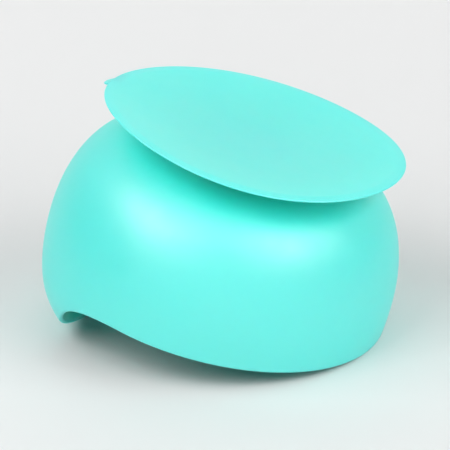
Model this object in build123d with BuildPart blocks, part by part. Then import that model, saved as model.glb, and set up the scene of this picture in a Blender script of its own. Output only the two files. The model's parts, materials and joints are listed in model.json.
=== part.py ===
"""Suction scoop bowl: a soft silicone bowl with a raised, curled lip and a suction cup under its base.

The bowl is drawn in its own axis frame: height runs from the sealing face of the suction cup, 0, up
towards the mouth, and radius runs from the axis out towards the scoop lip. That frame is then turned
over, so the bowl stands on its rim and on its lip, leaning by lean_angle, with the suction cup on top.
"""

import os
from math import cos, radians, sin

from build123d import *

# ---- driving dimensions, mm and degrees -------------------------------------------------------------
lean_angle = 14.7        # lean of the bowl's axis, as it rests on its rim and lip
rim_height = 56.6        # level rim, above the sealing face
bowl_radius = 59.3       # widest outside radius
base_height = 9.0        # underside of the bowl's floor
base_radius = 33.2       # flat part of the underside
wall = 2.6               # bowl wall and floor
rim_radius = 59.0        # outside radius at the level rim
rim_round = 1.0          # rounding of the rim's two edges
lip_bulge = 0.6          # how far the lip stands out past a wall that ended at the rim
cut_reach = 70.0         # beyond the bowl on every side
cut_top = 95.0           # beyond the tip of the lip

cup_radius = 50.0        # suction cup
cup_edge = 0.9           # thickness at the cup's outer edge
seal_width = 3.0         # flat sealing land round the cup
cup_depth = 4.2          # hollow of the cup at its centre
skirt_mid_radius = 34.0  # half-way out on the skirt
skirt_mid_back = 3.9     # height of the skirt's back, half-way out

hub_radius = 18.0        # thick centre of the cup
hub_gap = 0.3            # running gap between hub and skirt
hub_back = 5.9           # height of the back of the hub
back_fall = 0.3          # how much lower the back is at the edge of the hub
face_slope = -0.07       # slope of the hollow face at the edge of the hub
neck_radius = 13.5       # stub between hub and bowl
neck_flare = 2.0         # how much wider the stub is where it meets the bowl

tab_width = 10.5         # release tab
tab_length = 5.2         # from the cup's edge to the tip
tab_thickness = 1.3
tab_round = 0.45
tab_droop = 30.0         # turn of the tab away from the sealing face
tab_gap = 0.25           # between the cup's edge and the tab's rounded root

# ---- the leaning frame ------------------------------------------------------------------------------
lean = radians(lean_angle)
towards_lip = (-cos(lean), 0, sin(lean))
towards_mouth = (-sin(lean), 0, -cos(lean))

# Control points of the outside of the wall: two curves, from the edge of the flat underside to the
# widest place, and on to the free edge of the curled lip.
wall_controls = [
    Vector(base_radius, base_height),
    Vector(50.3, base_height),
    Vector(bowl_radius, 26.1),
    Vector(bowl_radius, 48.3),
    Vector(bowl_radius, 68.4),
    Vector(54.3, 85.0),
    Vector(35.2, 81.4),
]

# The side view of the rim where it sweeps up from level to the free edge of the lip.
sweep_start = 17.0
sweep_points = [
    (sweep_start, rim_height),
    (27.3, 59.6),
    (32.8, 64.6),
    (36.6, 71.4),
    (37.6, 79.4),
    (36.7, cut_top),
]

# The bowl stands on the rounded rim opposite the lip, and its box is centred over the origin.
stand_height = (rim_height - rim_round) * cos(lean) + (rim_radius - rim_round) * sin(lean) + rim_round
lip_side_reach = bowl_radius * cos(lean) + rim_height * sin(lean) + lip_bulge
cup_side_reach = cup_radius * cos(lean)
centre_x = (lip_side_reach - cup_side_reach) / 2

bowl_frame = Plane(origin=(centre_x, 0, stand_height), x_dir=towards_lip, z_dir=towards_mouth)
section = Plane(origin=bowl_frame.origin, x_dir=towards_lip, z_dir=(0, -1, 0))
far_section = Plane(origin=bowl_frame.origin, x_dir=(cos(lean), 0, -sin(lean)), z_dir=(0, 1, 0))
bowl_axis = Axis(bowl_frame.origin, bowl_frame.z_dir)


def inset_controls(points, distance):
    """Control points moved to the left of their polygon, for a curve that keeps its distance."""
    headings = [(after - before).normalized() for before, after in zip(points, points[1:])]
    normals = [Vector(-heading.Y, heading.X) for heading in headings]
    corners = [
        point + (normal + next_normal) * (distance / (1 + normal.dot(next_normal)))
        for point, normal, next_normal in zip(points[1:-1], normals, normals[1:])
    ]
    return [points[0] + normals[0] * distance, *corners, points[-1] + normals[-1] * distance]


# ---- bowl: floor, round wall, level rim and curled scoop lip ------------------------------------------
inner_controls = inset_controls(wall_controls, wall)

with BuildPart() as bowl:
    with BuildSketch(far_section):
        with BuildLine():
            Line((0, base_height), wall_controls[0])
            Bezier(*wall_controls[:4])
            outer_lip = Bezier(*wall_controls[3:])
            Bezier(*inner_controls[:4])
            inner_lip = Bezier(*inner_controls[3:])
            tip_crown = (outer_lip @ 1 + inner_lip @ 1) / 2 + (outer_lip % 1) * (wall / 2)
            ThreePointArc(outer_lip @ 1, tip_crown, inner_lip @ 1)
            Polyline(inner_controls[0], (0, base_height + wall), (0, base_height))
        make_face()
    revolve(axis=bowl_axis)
    # Seen from the side, the rim is level and then sweeps up to the tip of the lip.
    with BuildSketch(section.offset(-cut_reach)):
        with Locations((sweep_start - cut_reach, rim_height + cut_reach / 2)):
            Rectangle(2 * cut_reach, cut_reach)
    extrude(amount=2 * cut_reach, mode=Mode.SUBTRACT)
    with BuildSketch(section.offset(-cut_reach)):
        with BuildLine():
            sweep = Spline(*sweep_points, tangents=[(1, 0), (0, 1)])
            Polyline(sweep @ 1, (sweep_start - 1, cut_top), (sweep_start - 1, rim_height), sweep @ 0)
        make_face()
    extrude(amount=2 * cut_reach, mode=Mode.SUBTRACT)
    rim_edges = bowl.edges().filter_by(
        lambda edge: bowl_frame.to_local_coords(edge.position_at(0.5)).Z > rim_height - 0.1
    )
    fillet(rim_edges, radius=rim_round)
bowl.part.label = "bowl"

# ---- neck: the stub that carries the suction cup ------------------------------------------------------
with BuildPart() as neck:
    with BuildSketch(section):
        with BuildLine():
            Line((0, hub_back), (neck_radius, hub_back))
            flare_root = (neck_radius + neck_flare, base_height)
            Spline((neck_radius, hub_back), flare_root, tangents=[(0, 1), (1, 0.6)])
            Line(flare_root, (0, base_height))
            Line((0, base_height), (0, hub_back))
        make_face()
    revolve(axis=bowl_axis)
neck.part.label = "neck"


def cup_face_height(radius):
    """Height of the hollow face of the cup: a shallow dome that meets the flat sealing land."""
    share = radius / (cup_radius - seal_width)
    return cup_depth * (1 - share ** 2)


# ---- suction hub: the thick centre of the cup -----------------------------------------------------------
with BuildPart() as suction_hub:
    with BuildSketch(section):
        with BuildLine():
            face_edge = (hub_radius, cup_face_height(hub_radius))
            face = Spline((0, cup_depth), face_edge, tangents=[(1, 0), (1, face_slope)])
            back_edge = (hub_radius, hub_back - back_fall)
            Line(face @ 1, back_edge)
            Line(back_edge, (0, hub_back))
            Line((0, hub_back), face @ 0)
        make_face()
    revolve(axis=bowl_axis)
suction_hub.part.label = "suction_hub"

# ---- suction skirt: the thin flexible ring with its flat sealing land ---------------------------------
with BuildPart() as suction_skirt:
    skirt_bore = hub_radius + hub_gap
    land_radius = cup_radius - seal_width
    with BuildSketch(section):
        with BuildLine():
            land = Line((land_radius, 0), (cup_radius - cup_edge / 2, 0))
            edge_arc = ThreePointArc(
                land @ 1, (cup_radius, cup_edge / 2), (cup_radius - cup_edge / 2, cup_edge)
            )
            back = Spline(
                edge_arc @ 1,
                (skirt_mid_radius, skirt_mid_back),
                (skirt_bore, hub_back - back_fall),
                tangents=[(-1, 0.1), (-1, 0.05)],
            )
            bore = Line(back @ 1, (skirt_bore, cup_face_height(skirt_bore)))
            Spline(
                bore @ 1,
                (skirt_mid_radius, cup_face_height(skirt_mid_radius)),
                (land_radius, 0),
            )
        make_face()
    revolve(axis=bowl_axis)
suction_skirt.part.label = "suction_skirt"

# ---- release tab: lifted to let air under the skirt ---------------------------------------------------
tab_root = cup_radius + tab_gap + tab_thickness / 2
tab_reach = tab_length - tab_gap - tab_thickness / 2
tab_frame = Plane(
    origin=bowl_frame.from_local_coords((tab_root, 0, tab_thickness / 2)),
    x_dir=bowl_frame.x_dir,
    z_dir=bowl_frame.z_dir,
).rotated((0, -tab_droop, 0))

with BuildPart() as release_tab:
    with BuildSketch(tab_frame.offset(-tab_thickness / 2)):
        with BuildLine():
            Line((0, -tab_width / 2), (0, tab_width / 2))
            EllipticalCenterArc((0, 0), tab_reach, tab_width / 2, start_angle=-90, arc_size=180)
        make_face()
    extrude(amount=tab_thickness)
    fillet(release_tab.edges(), radius=tab_round)
release_tab.part.label = "release_tab"

# ---- export -----------------------------------------------------------------------------------------------
os.makedirs("parts", exist_ok=True)
for piece in (bowl, neck, suction_hub, suction_skirt, release_tab):
    export_step(piece.part, f"parts/{piece.part.label}.step")
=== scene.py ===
import json
import math

import bmesh
import bpy
import numpy as np
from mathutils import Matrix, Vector


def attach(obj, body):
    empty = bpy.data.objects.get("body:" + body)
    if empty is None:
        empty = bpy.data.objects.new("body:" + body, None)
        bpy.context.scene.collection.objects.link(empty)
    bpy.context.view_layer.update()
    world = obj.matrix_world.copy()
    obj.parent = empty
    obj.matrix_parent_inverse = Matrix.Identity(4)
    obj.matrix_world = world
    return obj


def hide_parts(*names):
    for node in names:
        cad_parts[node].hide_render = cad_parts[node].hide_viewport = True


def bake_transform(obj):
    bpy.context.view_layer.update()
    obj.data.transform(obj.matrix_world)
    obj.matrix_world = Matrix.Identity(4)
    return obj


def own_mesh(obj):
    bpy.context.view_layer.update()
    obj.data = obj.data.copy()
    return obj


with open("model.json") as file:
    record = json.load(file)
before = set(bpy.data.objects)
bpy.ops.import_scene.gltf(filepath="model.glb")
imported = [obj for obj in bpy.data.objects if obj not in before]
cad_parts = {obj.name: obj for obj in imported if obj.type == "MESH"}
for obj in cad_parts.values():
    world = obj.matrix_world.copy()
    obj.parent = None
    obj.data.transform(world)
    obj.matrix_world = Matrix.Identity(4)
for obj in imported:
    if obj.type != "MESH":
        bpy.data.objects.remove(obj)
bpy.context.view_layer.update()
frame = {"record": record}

MM = 0.001

# ---- sizes: radius from the cup's axis and height above the sealing face, as in the CAD part ----------
WALL = 2.6 * MM
BASE_HEIGHT = 9.0 * MM
RIM_HEIGHT = 56.6 * MM
LOWER_WALL = np.array([(33.2, 9.0), (49.9, 9.0), (59.3, 26.3), (59.3, 48.3)]) * MM
UPPER_WALL = np.array([(59.3, 48.3), (59.3, 68.4), (54.3, 85.0), (35.2, 81.4)]) * MM
FLOOR_POINTS = 80
CURVE_POINTS = 400

# Side view of the rim, from level up into the free edge of the lip: distance towards the lip, and height.
SIDE_SWEEP = np.array([(9.7, 56.6), (34.6, 57.3), (37.2, 68.1), (35.6, 84.0)]) * MM
SWEEP_POINTS = 200
# The curl of the lip is lower at its two corners than in its middle. Angles are from the middle of the lip.
CORNER_DROP = 0.104
CORNER_START, CORNER_FULL = math.radians(4), math.radians(48)
CORNER_FADE, CORNER_END = math.radians(58), math.radians(82)
# At 1 the free edge is fully round, and a smaller number squares its corners.
EDGE_SQUARE = 0.8
# The wall thins towards the free edge of the lip.
LIP_THINNING = 0.34
LIP_TAPER = 8.0 * MM
LIP_START, LIP_END = math.radians(52), math.radians(72)

CUP_RADIUS = 50.0 * MM
SEAL_RADIUS = 47.0 * MM
CUP_DEPTH = 4.2 * MM
CUP_EDGE = 0.7 * MM
HUB_BACK = 5.9 * MM
MOUNT_RADIUS = 48.0 * MM

NECK_SIDE = np.array([(17.5, 5.3), (12.5, 6.0), (12.5, 8.4), (18.0, 9.2)]) * MM
NECK_TOP = 9.8 * MM

# ---- camera: degrees round from -Y and up, and its aim as an offset from the middle of the cup --------
CAMERA_AZIMUTH = 21.31
CAMERA_ELEVATION = 20.0
CAMERA_DISTANCE = 600.0 * MM
CAMERA_LENS = 147.69
SENSOR_WIDTH = 36.0
AIM_RIGHT = -9.96 * MM
AIM_UP = -31.46 * MM

# Every light is a square with this side, in metres.
LIGHT_SIZE = 0.5

# ---- the bowl's own axes, from the mount on the sealing face, on its side away from the lip -----------
suction_face = frame["record"]["mounts"][0]
cup_axis = np.array(suction_face["axis"])
to_mouth = -cup_axis
to_lip = np.array([-cup_axis[2], 0.0, cup_axis[0]])
to_side = np.array([0.0, 1.0, 0.0])
seal_centre = np.array(suction_face["pos_m"]) + MOUNT_RADIUS * to_lip


def place(radius, angle, height):
    """Row-frame points from radius, angle (0 at the lip) and height above the sealing face."""
    radius, angle, height = np.broadcast_arrays(radius, angle, height)
    return (
        seal_centre
        + (radius * np.cos(angle))[..., None] * to_lip
        + (radius * np.sin(angle))[..., None] * to_side
        + height[..., None] * to_mouth
    )


def bezier(controls, count):
    """Points along a cubic Bezier curve."""
    t = np.linspace(0, 1, count)[:, None]
    a, b, c, d = controls
    return (1 - t) ** 3 * a + 3 * t * (1 - t) ** 2 * b + 3 * t ** 2 * (1 - t) * c + t ** 3 * d


def arc_length(points):
    """Length along a line of points, from its start to each of them."""
    steps = np.hypot(*np.diff(points, axis=0).T)
    return np.concatenate([[0.0], np.cumsum(steps)])


def smooth_step(value, low, high):
    """0 below low, 1 above high, and an even S-curve between them."""
    share = np.clip((value - low) / (high - low), 0, 1)
    return share ** 2 * (3 - 2 * share)


def away_from_lip(angle):
    """How far an angle round the bowl is from the middle of the lip, 0 to pi."""
    return np.abs(np.arctan2(np.sin(angle), np.cos(angle)))


# ---- mesh helpers -------------------------------------------------------------------------------------
def shade_smooth(mesh):
    for polygon in mesh.polygons:
        polygon.use_smooth = True


def make_mesh(name, points, faces, body):
    """A smooth-shaded mesh piece, which rides on a body where one is named."""
    mesh = bpy.data.meshes.new(name)
    mesh.from_pydata([tuple(p) for p in points], [], faces)
    mesh.validate()
    shade_smooth(mesh)
    piece = bpy.data.objects.new(name, mesh)
    bpy.context.scene.collection.objects.link(piece)
    if body:
        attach(piece, body)
    return piece


def merge_close(piece, distance):
    """Joins the vertices of a mesh that lie on each other."""
    work = bmesh.new()
    work.from_mesh(piece.data)
    bmesh.ops.remove_doubles(work, verts=work.verts, dist=distance)
    bmesh.ops.recalc_face_normals(work, faces=work.faces)
    work.to_mesh(piece.data)
    work.free()
    shade_smooth(piece.data)


def shell_faces(rings, columns):
    """Faces of a closed shell: a stack of rings, then one point before the first and one after the last."""
    faces = []
    for ring in range(rings - 1):
        low, high = ring * columns, (ring + 1) * columns
        for column in range(columns):
            following = (column + 1) % columns
            faces.append((low + column, low + following, high + following, high + column))
    start, stop, last = rings * columns, rings * columns + 1, (rings - 1) * columns
    for column in range(columns):
        following = (column + 1) % columns
        faces.append((start, following, column))
        faces.append((stop, last + column, last + following))
    return faces


def revolve_piece(name, profile, body, columns=288, lift=None, stretch=None):
    """A closed body of revolution from a profile that starts and ends on the axis.
    lift(radius, angle) moves its points along the cup's axis, and stretch outwards."""
    angles = np.linspace(0, 2 * math.pi, columns, endpoint=False)[None, :]
    inner = profile[1:-1]
    radius = inner[:, 0][:, None] + 0 * angles
    height = inner[:, 1][:, None] + 0 * angles
    if lift is not None:
        height = height - lift(radius, angles)
        radius = radius + stretch(radius, angles)
    rings = place(radius, angles, height).reshape(-1, 3)
    ends = place(np.zeros(2), 0.0, profile[[0, -1], 1])
    return make_mesh(name, np.vstack([rings, ends]), shell_faces(len(inner), columns), body)


# ---- materials ----------------------------------------------------------------------------------------
def new_material(name):
    material = bpy.data.materials.new(name)
    material.use_nodes = True
    nodes, links = material.node_tree.nodes, material.node_tree.links
    nodes.clear()
    output = nodes.new("ShaderNodeOutputMaterial")
    shader = nodes.new("ShaderNodeBsdfPrincipled")
    links.new(shader.outputs["BSDF"], output.inputs["Surface"])
    return material, nodes, links, shader


def noise(nodes, links, coords, scale, detail, roughness):
    node = nodes.new("ShaderNodeTexNoise")
    node.inputs["Scale"].default_value = scale
    node.inputs["Detail"].default_value = detail
    node.inputs["Roughness"].default_value = roughness
    links.new(coords, node.inputs["Vector"])
    return node.outputs["Fac"]


def remap(nodes, links, value, low, high):
    """A noise value stretched from its usual 0.3 to 0.7 to the range low to high."""
    node = nodes.new("ShaderNodeMapRange")
    node.inputs["From Min"].default_value = 0.3
    node.inputs["From Max"].default_value = 0.7
    node.inputs["To Min"].default_value = low
    node.inputs["To Max"].default_value = high
    links.new(value, node.inputs["Value"])
    return node.outputs["Result"]


def two_tone(nodes, links, value, first, second):
    """A colour that goes from the first to the second with a value."""
    tint = nodes.new("ShaderNodeMix")
    tint.data_type = "RGBA"
    tint.inputs["A"].default_value = (*first, 1.0)
    tint.inputs["B"].default_value = (*second, 1.0)
    links.new(value, tint.inputs["Factor"])
    return tint.outputs["Result"]


def bump(nodes, links, height, strength, distance):
    node = nodes.new("ShaderNodeBump")
    node.inputs["Strength"].default_value = strength
    node.inputs["Distance"].default_value = distance
    links.new(height, node.inputs["Height"])
    return node


def silicone(name, deep, pale, glow):
    """Matte moulded silicone: cloudy colour, a powdery sheen, an eggshell grain and light that soaks in."""
    material, nodes, links, shader = new_material(name)
    coords = nodes.new("ShaderNodeTexCoord").outputs["Object"]

    clouds = noise(nodes, links, coords, scale=28.0, detail=4.0, roughness=0.55)
    specks = noise(nodes, links, coords, scale=900.0, detail=2.0, roughness=0.6)
    blend = nodes.new("ShaderNodeMath")
    blend.operation = "ADD"
    links.new(remap(nodes, links, clouds, 0.15, 0.75), blend.inputs[0])
    links.new(remap(nodes, links, specks, -0.06, 0.06), blend.inputs[1])
    colour = two_tone(nodes, links, blend.outputs["Value"], deep, pale)
    links.new(colour, shader.inputs["Base Color"])

    smudges = noise(nodes, links, coords, scale=55.0, detail=5.0, roughness=0.6)
    links.new(remap(nodes, links, smudges, 0.46, 0.58), shader.inputs["Roughness"])
    shader.inputs["Specular IOR Level"].default_value = 1.0
    shader.inputs["IOR"].default_value = 1.9
    shader.inputs["Sheen Weight"].default_value = 0.16
    shader.inputs["Sheen Roughness"].default_value = 0.45
    shader.inputs["Subsurface Weight"].default_value = glow
    shader.inputs["Subsurface Radius"].default_value = (0.20, 1.0, 0.85)
    shader.inputs["Subsurface Scale"].default_value = 3.5 * MM

    grain = noise(nodes, links, coords, scale=2600.0, detail=3.0, roughness=0.65)
    waves = noise(nodes, links, coords, scale=70.0, detail=2.0, roughness=0.4)
    grain_bump = bump(nodes, links, grain, strength=0.05, distance=0.04 * MM)
    wave_bump = bump(nodes, links, waves, strength=0.10, distance=0.5 * MM)
    links.new(grain_bump.outputs["Normal"], wave_bump.inputs["Normal"])
    links.new(wave_bump.outputs["Normal"], shader.inputs["Normal"])
    return material


def paper(name, colour):
    """Matte paper that is clear from behind, so that it never stands between the camera and the object."""
    material, nodes, links, shader = new_material(name)
    coords = nodes.new("ShaderNodeTexCoord").outputs["Object"]
    fibres = noise(nodes, links, coords, scale=40.0, detail=4.0, roughness=0.5)
    darker = [channel * 0.99 for channel in colour]
    links.new(two_tone(nodes, links, fibres, darker, colour), shader.inputs["Base Color"])
    shader.inputs["Roughness"].default_value = 0.7
    shader.inputs["Specular IOR Level"].default_value = 0.2
    geometry = nodes.new("ShaderNodeNewGeometry")
    clear = nodes.new("ShaderNodeBsdfTransparent")
    sides = nodes.new("ShaderNodeMixShader")
    links.new(geometry.outputs["Backfacing"], sides.inputs[0])
    links.new(shader.outputs["BSDF"], sides.inputs[1])
    links.new(clear.outputs["BSDF"], sides.inputs[2])
    links.new(sides.outputs["Shader"], nodes["Material Output"].inputs["Surface"])
    return material


bowl_silicone = silicone(
    "bowl_silicone", deep=(0.014, 0.850, 0.755), pale=(0.028, 0.880, 0.795), glow=0.70
)
cup_silicone = silicone(
    "cup_silicone", deep=(0.022, 0.830, 0.720), pale=(0.040, 0.860, 0.760), glow=0.90
)


# ---- bowl ---------------------------------------------------------------------------------------------
def wall_middle():
    """The middle surface of floor and wall as a profile: points, normals pointing outwards, arc lengths."""
    floor_radius = np.linspace(0, LOWER_WALL[0, 0], FLOOR_POINTS)[:-1]
    floor = np.column_stack([floor_radius, np.full(FLOOR_POINTS - 1, BASE_HEIGHT)])
    lower, upper = bezier(LOWER_WALL, CURVE_POINTS), bezier(UPPER_WALL, CURVE_POINTS)
    outside = np.vstack([floor, lower[:-1], upper])
    heading = np.gradient(outside, axis=0)
    heading /= np.linalg.norm(heading, axis=1)[:, None]
    normal = np.column_stack([heading[:, 1], -heading[:, 0]])
    middle = outside - normal * WALL / 2
    return middle, normal, arc_length(middle)


def lower_corners(height, angle):
    """Heights above the widest place, pressed down towards the two corners of the lip."""
    away = away_from_lip(angle)
    corner = smooth_step(away, CORNER_START, CORNER_FULL) - smooth_step(away, CORNER_FADE, CORNER_END)
    above = np.clip(height - UPPER_WALL[0, 1], 0, None)
    return height - above * CORNER_DROP * corner


def free_edge(middle, lengths, angles):
    """Arc length at which the wall ends, for each angle round the bowl: where it crosses the side sweep."""
    reach, climb = bezier(SIDE_SWEEP, SWEEP_POINTS).T
    ends = []
    for angle in angles:
        height = lower_corners(middle[:, 1], angle)
        # The second half of the upper curve, in which the lip curls over and down again, is left out here.
        rising = height[: -CURVE_POINTS // 2]
        start = int(np.searchsorted(rising, RIM_HEIGHT))
        over = np.interp(height[start:], climb, reach) - middle[start:, 0] * math.cos(angle)
        first = int(np.argmax(over > 0)) if np.any(over > 0) else len(over) - 1
        crosses = first and over[first] > 0
        share = over[first - 1] / (over[first - 1] - over[first]) if crosses else 1.0
        before = lengths[start + max(first, 1) - 1]
        ends.append(before + share * (lengths[start + first] - before))
    return np.array(ends)


def smooth_ring(values, passes):
    for _ in range(passes):
        values = 0.25 * np.roll(values, 1) + 0.5 * values + 0.25 * np.roll(values, -1)
    return values


def make_bowl():
    """One closed shell: outside, a rounded free edge, inside."""
    columns, wall_rows, edge_rows = 432, 96, 9
    middle, normal, lengths = wall_middle()
    angles = np.linspace(0, 2 * math.pi, columns, endpoint=False)
    ends = smooth_ring(free_edge(middle, lengths, angles), passes=6)

    # Where the free edge runs at a slant to the profile, its rounding is longer along the profile.
    column_width = np.interp(ends, lengths, middle[:, 0]) * 2 * math.pi / columns
    slope = np.gradient(np.concatenate([ends[-1:], ends, ends[:1]]))[1:-1] / column_width
    stretch = np.sqrt(1 + slope ** 2)
    half = WALL / 2
    thinning = LIP_THINNING * (1 - smooth_step(away_from_lip(angles), LIP_START, LIP_END))
    edge_half = half * (1 - thinning)
    round_start = ends - edge_half * stretch

    rows, thickness = [], []
    for share in np.linspace(0, 1, wall_rows + 1)[1:]:
        row = round_start * share
        rows.append(row)
        thickness.append(half * (1 - thinning * smooth_step(row, round_start - LIP_TAPER, round_start)))
    # The thinning comes off the inside, so the middle of the wall moves outwards.
    shift = [half - row for row in thickness] + [half - edge_half] * edge_rows
    for turn in np.linspace(0, math.pi / 2, edge_rows + 1)[1:]:
        rows.append(ends - edge_half * (1 - math.sin(turn) ** EDGE_SQUARE) * stretch)
        thickness.append(edge_half * max(math.cos(turn), 0.0) ** EDGE_SQUARE)
    rows, thickness, shift = np.array(rows), np.array(thickness), np.array(shift)

    def surface(side):
        """Points of the outside, where side is 1, or of the inside, where it is -1."""
        offset = shift + side * thickness
        radius = np.interp(rows, lengths, middle[:, 0]) + offset * np.interp(rows, lengths, normal[:, 0])
        height = np.interp(rows, lengths, middle[:, 1]) + offset * np.interp(rows, lengths, normal[:, 1])
        return place(radius, angles[None, :], lower_corners(height, angles[None, :]))

    rings = np.concatenate([surface(1.0), surface(-1.0)[:-1][::-1]])
    centre = place(np.zeros(2), 0.0, np.array([BASE_HEIGHT, BASE_HEIGHT + WALL]))
    points = np.vstack([rings.reshape(-1, 3), centre])
    piece = make_mesh("bowl_shell", points, shell_faces(len(rings), columns), "bowl_body")
    piece.data.materials.append(bowl_silicone)
    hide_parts("bowl")


# ---- suction cup --------------------------------------------------------------------------------------
def lobes(angle, count, size, heading):
    """A wave round the cup: its crests, its size in millimetres, and the heading of one crest in degrees."""
    return size * MM * np.cos(count * (angle - math.radians(heading)))


def edge_lift(radius, angle):
    """The soft cup has taken a set: its edge waves up to 1.5 mm off its plane."""
    lift = (
        0.2 * MM
        + lobes(angle, 1, 0.37, -104.0)
        + lobes(angle, 2, 0.89, -26.5)
        + lobes(angle, 3, 0.48, 64.2)
    )
    return lift * (radius / CUP_RADIUS) ** 2.5


def edge_stretch(radius, angle):
    """The same set makes its outline slightly oval."""
    return lobes(angle, 2, 0.38, -20.3) * (radius / CUP_RADIUS) ** 2


def make_cup():
    """Hub and skirt as one skin: the hollow face, the flat sealing land, the thin edge and the back."""
    face_points, land_points, edge_points, back_points = 60, 7, 11, 40
    edge = CUP_EDGE / 2
    face_radius = np.linspace(0, SEAL_RADIUS, face_points)
    face = np.column_stack([face_radius, CUP_DEPTH * (1 - (face_radius / SEAL_RADIUS) ** 2)])
    land_radius = np.linspace(SEAL_RADIUS, CUP_RADIUS - edge, land_points)[1:]
    land = np.column_stack([land_radius, np.zeros(land_points - 1)])
    turn = np.linspace(-math.pi / 2, math.pi / 2, edge_points)[1:-1]
    rim = np.column_stack([CUP_RADIUS - edge + edge * np.cos(turn), edge + edge * np.sin(turn)])
    back_start = [(CUP_RADIUS - edge, CUP_EDGE)]
    back_controls = [(40.0 * MM, 2.9 * MM), (26.0 * MM, 5.1 * MM), (17.0 * MM, 5.6 * MM)]
    back = bezier(np.array(back_start + back_controls), back_points)
    centre = np.array([(8.0 * MM, 5.8 * MM), (0.0, HUB_BACK)])
    profile = np.vstack([face, land, rim, back, centre])
    piece = revolve_piece("suction_cup", profile, "bowl_body", lift=edge_lift, stretch=edge_stretch)
    piece.data.materials.append(cup_silicone)
    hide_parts("suction_hub", "suction_skirt")
    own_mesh(piece)


def make_neck():
    """The stub between cup and bowl, flared into both."""
    bottom, widest = (0, NECK_SIDE[0, 1]), NECK_SIDE[-1, 0]
    profile = np.vstack([bottom, bezier(NECK_SIDE, count=24), (widest, NECK_TOP), (0, NECK_TOP)])
    piece = revolve_piece("neck_stub", profile, "bowl_body", columns=144)
    piece.data.materials.append(cup_silicone)
    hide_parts("neck")


# ---- release tab --------------------------------------------------------------------------------------
def tongue_faces(rows, columns):
    """Faces of a front and a back grid with the same outline, closed at the root."""
    faces = []
    stride = columns + 1
    back = rows * stride
    for row in range(rows - 1):
        for column in range(columns):
            near = row * stride + column
            far = near + stride
            faces.append((near, near + 1, far + 1, far))
            faces.append((back + near, back + far, back + far + 1, back + near + 1))
    for column in range(columns):
        faces.append((column + 1, column, back + column, back + column + 1))
    return faces


def make_tab():
    """A rounded tongue that leaves the edge of the cup and bends away from the sealing face."""
    root, bend_start, length = 46.0 * MM, 48.5 * MM, 8.3 * MM
    half_width, root_width, thick = 4.3 * MM, 5.0 * MM, 0.8 * MM
    root_level, turn_length = 0.62 * MM, 3.0 * MM
    blend_start, blend_end, blend_level = 49.8 * MM, 52.0 * MM, 0.65 * MM
    droop, aside = math.radians(48), math.radians(-2)
    tip_thinning, flare = 0.15, 0.8
    rows, columns = 48, 28

    along = np.sin(np.linspace(0, math.pi / 2, rows))[:, None]
    across = np.sin(np.linspace(-math.pi / 2, math.pi / 2, columns + 1))[None, :]
    distance = length * along + 0 * across
    straight = bend_start - root
    bent = np.clip(distance - straight, 0, None)
    bend = droop * np.clip(bent / turn_length, 0, 1)
    reach = root + np.minimum(distance, straight) + bent * np.cos(bend / 2)
    level = root_level + bent * np.sin(bend / 2)

    tip = np.clip((distance - straight) / (length - straight), 0, 1)
    width = np.where(
        distance < straight,
        root_width + (half_width - root_width) * (distance / straight) ** flare,
        half_width * np.sqrt(np.clip(1 - tip ** 2, 0, 1)),
    )
    # The thickness is rounded off to nothing at the sides and the tip.
    near_side = np.clip(1 - np.abs(across), 0, 1) * width
    near_tip = np.clip(length - distance, 0, None)
    inset = np.clip(np.minimum(near_side, near_tip) / (thick / 2), 0, 1)
    half = thick / 2 * (1 - tip_thinning * tip) * np.sqrt(np.clip(1 - (1 - inset) ** 2, 0, 1))

    side = width * across
    radius = np.hypot(reach, side)
    turn = aside + np.arctan2(side, reach)
    front = place(radius, turn, level - half).reshape(-1, 3)
    back = place(radius, turn, level + half).reshape(-1, 3)
    piece = make_mesh("pull_tab", np.vstack([front, back]), tongue_faces(rows, columns), None)
    merge_close(piece, 0.002 * MM)
    piece.data.materials.append(cup_silicone)
    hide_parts("release_tab")
    start, end = place(np.array([blend_start, blend_end]), 0.0, np.full(2, blend_level))
    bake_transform(piece)


# ---- stage, lights, camera ----------------------------------------------------------------------------
def make_stage():
    """A pale sweep, a floor that curves up into a backdrop. It is clear from behind and from below."""
    width, front, back, bend, tall = 3.0, -3.0, 0.09, 0.35, 2.4
    bend_steps = 16
    profile = [(front, 0.0), (back, 0.0)]
    for step in range(1, bend_steps + 1):
        turn = math.pi / 2 * step / bend_steps
        profile.append((back + bend * math.sin(turn), bend * (1 - math.cos(turn))))
    profile.append((back + bend, tall))
    points = [(x, y, z) for y, z in profile for x in (-width, width)]
    faces = [(2 * k, 2 * k + 1, 2 * k + 3, 2 * k + 2) for k in range(len(profile) - 1)]
    sweep = make_mesh("backdrop", points, faces, None)
    sweep.rotation_euler = (0, 0, math.radians(CAMERA_AZIMUTH))
    sweep.data.materials.append(paper("pale_paper", (0.80, 0.80, 0.80)))


def make_camera():
    turn, rise = math.radians(CAMERA_AZIMUTH), math.radians(CAMERA_ELEVATION)
    back = Vector((math.sin(turn) * math.cos(rise), -math.cos(turn) * math.cos(rise), math.sin(rise)))
    right = Vector((math.cos(turn), math.sin(turn), 0.0))
    up = back.cross(right)
    camera = bpy.data.cameras.new("camera")
    camera.lens = CAMERA_LENS
    camera.sensor_width = SENSOR_WIDTH
    camera.clip_start = 0.05
    camera.clip_end = 20.0
    view = bpy.data.objects.new("camera", camera)
    bpy.context.scene.collection.objects.link(view)
    view.location = Vector(seal_centre) + AIM_RIGHT * right + AIM_UP * up + CAMERA_DISTANCE * back
    view.rotation_mode = "QUATERNION"
    view.rotation_quaternion = (-back).to_track_quat("-Z", "Y")
    bpy.context.scene.camera = view


def light_place(azimuth, elevation, distance):
    """Where a light stands: degrees to the right of the camera's side, degrees up, and metres away."""
    turn = math.radians(CAMERA_AZIMUTH + azimuth)
    rise = math.radians(elevation)
    flat = distance * math.cos(rise)
    return (flat * math.sin(turn), -flat * math.cos(turn), distance * math.sin(rise))


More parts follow.
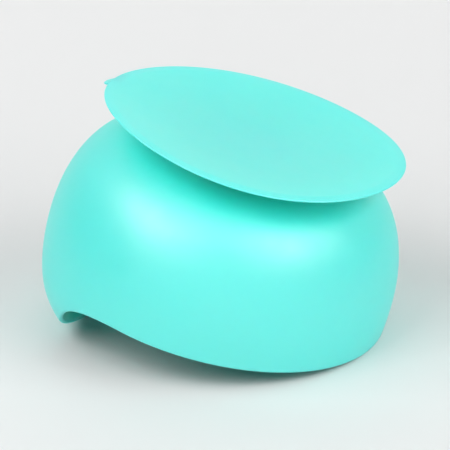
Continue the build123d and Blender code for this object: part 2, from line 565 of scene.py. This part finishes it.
def make_light(name, location, rotation, power):
    light = bpy.data.lights.new(name, "AREA")
    light.shape = "RECTANGLE"
    light.size, light.size_y = LIGHT_SIZE, LIGHT_SIZE
    light.energy = power
    lamp = bpy.data.objects.new(name, light)
    bpy.context.scene.collection.objects.link(lamp)
    lamp.location = location
    lamp.rotation_euler = rotation


def make_softboxes():
    """Six soft lights, 1 m away and aimed at the middle of the object."""
    middle = Vector((0.0, 0.0, 0.04))
    for name, azimuth, elevation, strength in (
        ("left_softbox", -40, 40, 0.42),
        ("far_left_softbox", -75, 50, 0.22),
        ("right_softbox", 40, 35, 0.30),
        ("far_right_softbox", 70, 38, 0.27),
        ("low_front_softbox", 0, 8, 0.07),
        ("high_front_softbox", 0, 55, 0.10),
    ):
        location = light_place(azimuth, elevation, 1.0)
        aim = (middle - Vector(location)).to_track_quat("-Z", "Y").to_euler()
        make_light(name, location, aim, strength * math.pi ** 2)


def make_wash():
    """A weak light above and behind the object, tipped towards the backdrop."""
    tipped = (math.radians(60), 0, math.radians(CAMERA_AZIMUTH))
    make_light("backdrop_wash", light_place(180, 70, 0.5), tipped, 0.25)


def make_world():
    """A dim surround for the light, and a pale one where the camera looks past the floor."""
    world = bpy.data.worlds.new("studio")
    world.use_nodes = True
    nodes, links = world.node_tree.nodes, world.node_tree.links
    dim = nodes["Background"]
    dim.inputs["Color"].default_value = (0.9, 0.93, 0.95, 1.0)
    dim.inputs["Strength"].default_value = 0.03
    pale = nodes.new("ShaderNodeBackground")
    pale.inputs["Color"].default_value = (0.83, 0.84, 0.84, 1.0)
    rays = nodes.new("ShaderNodeLightPath")
    choice = nodes.new("ShaderNodeMixShader")
    links.new(rays.outputs["Is Camera Ray"], choice.inputs[0])
    links.new(dim.outputs["Background"], choice.inputs[1])
    links.new(pale.outputs["Background"], choice.inputs[2])
    links.new(choice.outputs["Shader"], nodes["World Output"].inputs["Surface"])
    bpy.context.scene.world = world


make_camera()
make_bowl()
make_cup()
make_neck()
make_tab()
make_stage()
make_softboxes()
make_wash()
make_world()
bpy.context.scene.view_settings.view_transform = "Standard"
